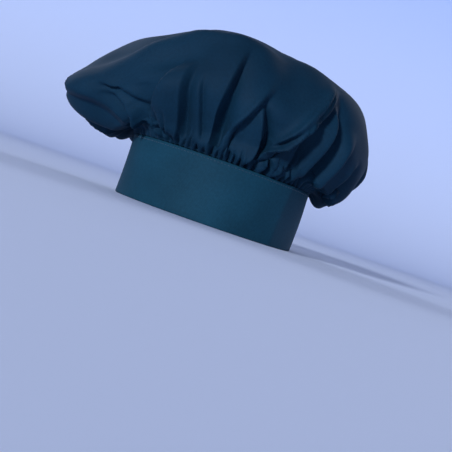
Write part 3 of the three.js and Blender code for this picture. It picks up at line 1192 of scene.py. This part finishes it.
@dataclass
class Band:
    """The band: a strip folded along its lower edge, with the topstitching near its upper."""

    oval: BandOval
    axis: HatAxis
    finish: TwillFinish
    thread: ThreadFinish
    columns: int = 360
    rows: int = 26
    fold_steps: int = 8
    thickness: float = 0.9
    waviness: Wave = Wave(0.9, 5, 0.6)
    pucker: float = 0.22
    pucker_reach: float = 3.0
    pucker_count: int = 92
    pucker_crowding: Wave = Wave(2.0, 5, 0.0)
    crease_azimuth: float = 40.0
    crease_slant: float = -4.0
    crease_rise: float = 1.9
    crease_width: float = 9.0
    crease_round: float = 3.0
    stitch_drop: float = 2.4
    stitch_length: float = 2.3
    stitch_pitch: float = 3.0
    stitch_width: float = 0.55

    def profile(self) -> list[tuple[float, float]]:
        """Gives the middle line of the folded strip as pairs of inset and height."""
        outer = self.thickness / 2
        inner = self.oval.wall - self.thickness / 2
        bend = (inner - outer) / 2
        middle = (outer + inner) / 2
        low = self.thickness / 2 + bend
        heights = [self.oval.height - (self.oval.height - low) * i / self.rows for i in range(self.rows)]
        turns = [math.pi * i / self.fold_steps for i in range(self.fold_steps + 1)]
        line = [(outer, height) for height in heights]
        line += [(middle - bend * math.cos(a), low - bend * math.sin(a)) for a in turns]
        line += [(inner, height) for height in reversed(heights)]
        return line

    def build(self) -> bpy.types.Object:
        """Spins the folded strip's line into a round band and pulls it to the oval.

        Returns:
            The band's object.
        """
        bm = bmesh.new()
        line = [bm.verts.new((0.0, inset - self.oval.half_width, up)) for inset, up in self.profile()]
        for first, second in zip(line, line[1:]):
            bm.edges.new((first, second))
        self.spin(bm, self.columns, whole=True)
        mesh = bpy.data.meshes.new("band_folded_strip")
        bm.to_mesh(mesh)
        bm.free()
        azimuth, inset, height = self.pull_to_oval(mesh)
        outwards = np.where(inset < self.oval.wall / 2, 1.0, -1.0)
        flat = np.stack([self.oval.length_to(azimuth), height * outwards], -1) * MM
        write_uv(mesh, "cloth", flat, self.oval.girth() * MM)
        shade_smooth(mesh)
        piece = new_object("band_folded_strip", mesh)
        wall = piece.modifiers.new("cloth wall", "SOLIDIFY")
        wall.thickness = self.thickness * MM
        wall.offset = 0.0
        return piece

    def spin(self, bm: bmesh.types.BMesh, steps: int, whole: bool) -> None:
        """Repeats what a mesh holds at the front all the way round the hat's axis.

        Args:
            bm: the mesh, which is turned about the upright axis.
            steps: how many places round the axis.
            whole: whether the steps join up as one surface, or are separate copies.
        """
        bmesh.ops.spin(
            bm,
            geom=list(bm.verts) + list(bm.edges) + list(bm.faces),
            cent=(0.0, 0.0, 0.0),
            axis=(0.0, 0.0, 1.0),
            angle=math.tau if whole else math.tau * (steps - 1) / steps,
            steps=steps if whole else steps - 1,
            use_merge=whole,
            use_duplicate=not whole,
        )

    def pull_to_oval(self, mesh: bpy.types.Mesh) -> tuple[np.ndarray, np.ndarray, np.ndarray]:
        """Pulls a round mesh to the band's oval, its distance inside the round kept.

        Args:
            mesh: a mesh spun about the axis, in millimetres.

        Returns:
            Each vertex's azimuth, its inset from the outer face and its height.
        """
        grid = read_points(mesh)
        azimuth = np.mod(np.degrees(np.arctan2(grid[:, 0], -grid[:, 1])), FULL_TURN)
        inset = self.oval.half_width - np.hypot(grid[:, 0], grid[:, 1])
        write_points(mesh, self.axis.metres(self.points(azimuth, inset, grid[:, 2])))
        return azimuth, inset, grid[:, 2]

    def points(self, azimuth: np.ndarray, inset: np.ndarray, height: np.ndarray) -> np.ndarray:
        """Places the band's points, with the slight waviness of unstiffened cloth.

        Args:
            azimuth: each point's direction in degrees.
            inset: how far inside the band's outer face.
            height: how far above the rim.

        Returns:
            The points in millimetres.
        """
        turn = np.radians(azimuth)
        middle = np.sin(math.pi * np.clip(height / self.oval.height, 0.0, 1.0))
        ease = self.waviness.height(turn) * middle
        drop = self.oval.height - height
        pucker = self.pucker * np.exp(-(((drop - self.stitch_drop) / self.pucker_reach) ** 2))
        pucker = pucker * np.sin(self.pucker_count * turn + self.pucker_crowding.height(turn))
        crease_azimuth = self.crease_azimuth + self.crease_slant * drop / self.oval.height
        across = np.radians(turn_between(azimuth, crease_azimuth)) * self.oval.half_width
        past = np.hypot(across, self.crease_round) - self.crease_round
        crease = self.crease_rise * np.exp(-past / self.crease_width)
        out = self.oval.radius(azimuth, inset) + ease + pucker + crease
        return np.stack([out * np.sin(turn), -out * np.cos(turn), height], -1)

    def topstitch(self) -> bpy.types.Object:
        """Sews the row of stitches under the crown's seam, on both faces of the band.

        Returns:
            The stitches' object.
        """
        bm = bmesh.new()
        height = self.oval.height - self.stitch_drop
        sizes = Matrix.Diagonal((self.stitch_length / 2, self.stitch_width / 2, self.stitch_width / 2, 1))
        for face in Face:
            inset = 0.0 if face is Face.OUTER else self.oval.wall
            place = Matrix.Translation((0.0, inset - self.oval.half_width, height))
            bmesh.ops.create_uvsphere(bm, u_segments=6, v_segments=6, radius=1.0, matrix=place @ sizes)
        self.spin(bm, round(self.oval.girth() / self.stitch_pitch), whole=False)
        mesh = bpy.data.meshes.new("band_topstitch")
        bm.to_mesh(mesh)
        bm.free()
        self.pull_to_oval(mesh)
        shade_smooth(mesh)
        return new_object("band_topstitch", mesh)

    def dress(self, strip: bpy.types.Object, stitches: bpy.types.Object) -> None:
        """Gives the band its cloth and thread, hangs them from the root and logs their vertices.

        Args:
            strip: the folded strip.
            stitches: the topstitching on it.
        """
        strip.data.materials.append(self.finish.material())
        stitches.data.materials.append(self.thread.material())
        for piece in (strip, stitches):
            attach(piece, "root")
        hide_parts("band")
        LOG.info("band: %d vertices, stitches: %d", len(strip.data.vertices), len(stitches.data.vertices))


class Sun(NamedTuple):
    """A sun lamp: where it shines from, how many degrees wide it looks, and its power."""

    name: str
    place: tuple[float, float, float]
    softness: float
    power: float


SUNS = (
    Sun("key", (-0.98, -1.8, 0.6), 8.0, 2.45),
    Sun("side", (1.3, 1.55, 0.85), 30.0, 1.0),
    Sun("back", (-1.2, 1.7, 0.95), 30.0, 1.0),
)


@dataclass(frozen=True)
class Studio:
    """A plain pale floor that curves up into a backdrop, soft light, and the camera.

    The floor's sizes are in metres. The surround's strength falls from horizon to zenith
    between the two heights of fall, where 0 is level and 1 straight up.
    """

    axis: HatAxis
    yaw: float = -5.0
    elevation: float = 1.2
    roll: float = 19.2
    distance: float = 1000.0
    pixels_per_mm: float = 1.052
    image_pixels: int = 452
    rim_centre_pixel: tuple[float, float] = (201.9, 221.0)
    sensor_mm: float = 36.0
    floor_colour: str = "#dfe9ff"
    wall_colour: str = "#b8cbf5"
    sky_colour: str = "#bccdff"
    lamp_colour: str = "#ebf1ff"
    floor_front: float = -9.0
    floor_back: float = 3.0
    floor_half_width: float = 10.0
    bend: float = 1.5
    bend_steps: int = 16
    wall_top: float = 2.3
    fall: tuple[float, float] = (0.1, 0.6)
    horizon: float = 0.42
    zenith: float = 0.17

    def build(self) -> None:
        """Makes the floor, the lights and the camera."""
        self.floor()
        self.lights()
        self.camera()

    def floor(self) -> None:
        """Makes the seamless floor: a long strip whose far end bends up into a wall."""
        bm = bmesh.new()
        bend, reach = self.bend, self.floor_back
        turns = [math.pi / 2 * i / self.bend_steps for i in range(self.bend_steps + 1)]
        line = [(self.floor_front, 0.0)]
        line += [(reach + bend * math.sin(a), bend - bend * math.cos(a)) for a in turns]
        line += [(reach + bend, self.wall_top)]
        verts = [bm.verts.new((-self.floor_half_width, y, z)) for y, z in line]
        edges = [bm.edges.new(pair) for pair in zip(verts, verts[1:])]
        made = bmesh.ops.extrude_edge_only(bm, edges=edges)["geom"]
        moved = [g for g in made if isinstance(g, bmesh.types.BMVert)]
        bmesh.ops.translate(bm, verts=moved, vec=(2 * self.floor_half_width, 0.0, 0.0))
        bmesh.ops.recalc_face_normals(bm, faces=list(bm.faces))
        mesh = bpy.data.meshes.new("studio_sweep")
        bm.to_mesh(mesh)
        bm.free()
        shade_smooth(mesh)
        sweep = new_object("studio_sweep", mesh)
        material = bpy.data.materials.new("pale paper, rolled")
        material.use_nodes = True
        tree = material.node_tree
        shader = tree.nodes["Principled BSDF"]
        place = add_node(tree, "ShaderNodeTexCoord").outputs["Object"]
        height = add_node(tree, "ShaderNodeSeparateXYZ", {}, {"Vector": place}).outputs["Z"]
        climb = add_node(
            tree,
            "ShaderNodeMapRange",
            {"From Min": 0.0, "From Max": bend},
            {"Value": height},
        ).outputs["Result"]
        tone = add_node(tree, "ShaderNodeMix", {"data_type": "RGBA"}, {"Factor": climb})
        tone.inputs[MIX_FIRST].default_value = linear_colour(self.floor_colour)
        tone.inputs[MIX_SECOND].default_value = linear_colour(self.wall_colour)
        tree.links.new(tone.outputs[MIX_RESULT], shader.inputs["Base Color"])
        shader.inputs["Roughness"].default_value = 0.9
        sweep.data.materials.append(material)

    def lights(self) -> None:
        """Adds a key sun from the front left, two weak ones from behind and a cool surround."""
        world = bpy.data.worlds.new("studio")
        bpy.context.scene.world = world
        world.use_nodes = True
        tree = world.node_tree
        background = tree.nodes["Background"]
        background.inputs["Color"].default_value = linear_colour(self.sky_colour)
        heading = add_node(tree, "ShaderNodeTexCoord").outputs["Generated"]
        height = add_node(tree, "ShaderNodeSeparateXYZ", {}, {"Vector": heading}).outputs["Z"]
        low, high = self.fall
        fall = {"From Min": low, "From Max": high, "To Min": self.horizon, "To Max": self.zenith}
        strength = add_node(tree, "ShaderNodeMapRange", fall, {"Value": height}).outputs["Result"]
        tree.links.new(strength, background.inputs["Strength"])
        for sun in SUNS:
            lamp = bpy.data.lights.new(sun.name, "SUN")
            lamp.energy = sun.power
            lamp.angle = math.radians(sun.softness)
            lamp.color = linear_colour(self.lamp_colour)[:3]
            light = bpy.data.objects.new(sun.name, lamp)
            light.location = sun.place
            light.rotation_euler = Vector(sun.place).to_track_quat("Z", "Y").to_euler()
            bpy.context.scene.collection.objects.link(light)

    def camera(self) -> None:
        """Places the camera as the photograph was taken, low in front and rolled.

        The photograph looks up at the hat from below its rim. The hat stands on the floor
        here, so the camera stays just above the floor, at the same yaw, roll and distance.
        """
        yaw, elevation, roll = (math.radians(a) for a in (self.yaw, self.elevation, self.roll))
        back = Vector(
            (math.sin(yaw) * math.cos(elevation), -math.cos(yaw) * math.cos(elevation), math.sin(elevation))
        )
        level = Vector((math.cos(yaw), math.sin(yaw), 0.0))
        rise = back.cross(level)
        right = level * math.cos(roll) + rise * math.sin(roll)
        up = rise * math.cos(roll) - level * math.sin(roll)
        middle = self.image_pixels / 2
        aside = (middle - self.rim_centre_pixel[0]) / self.pixels_per_mm * MM
        below = (middle - self.rim_centre_pixel[1]) / self.pixels_per_mm * MM
        target = Vector((self.axis.x, self.axis.y, 0.0)) + right * aside - up * below
        lens = bpy.data.cameras.new("photo_view")
        lens.sensor_width = self.sensor_mm
        lens.clip_start = 0.01
        lens.lens = self.pixels_per_mm * self.distance * self.sensor_mm / self.image_pixels
        camera = bpy.data.objects.new("photo_view", lens)
        camera.matrix_world = Matrix.Translation(target + back * self.distance * MM) @ (
            Matrix((right, up, back)).transposed().to_4x4()
        )
        bpy.context.scene.collection.objects.link(camera)
        bpy.context.scene.camera = camera
        bpy.context.scene.view_settings.view_transform = "Standard"


def main() -> None:
    """Builds the hat and its studio."""
    logging.basicConfig(level=logging.INFO, format="%(name)s: %(message)s")
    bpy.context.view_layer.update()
    axis = HatAxis.of_band()
    oval = BandOval()
    # The hat is of one cloth. The crown's colours are darker than the band's as painted shade, standing in
    # for the shade that falls on the crown.
    twill_painted_darker_on_crown = TwillFinish("poly-cotton twill in painted shade, crown", "#0d3247", "#0a2a3d")
    band_twill = TwillFinish("poly-cotton twill, woven, band", "#164558", "#123b4c")
    thread = ThreadFinish("spun polyester thread, twisted", "#1b4a60", "#142c42")

    shaping = (TuckPress(), SeamGathers(), Rumples(), ClothSettings())
    crown = Crown(CrownForm(oval), axis, *shaping, twill_painted_darker_on_crown)
    crown.dress(crown.build())
    band = Band(oval, axis, band_twill, thread)
    band.dress(band.build(), band.topstitch())
    Studio(axis).build()


if __name__ == "__main__":
    main()
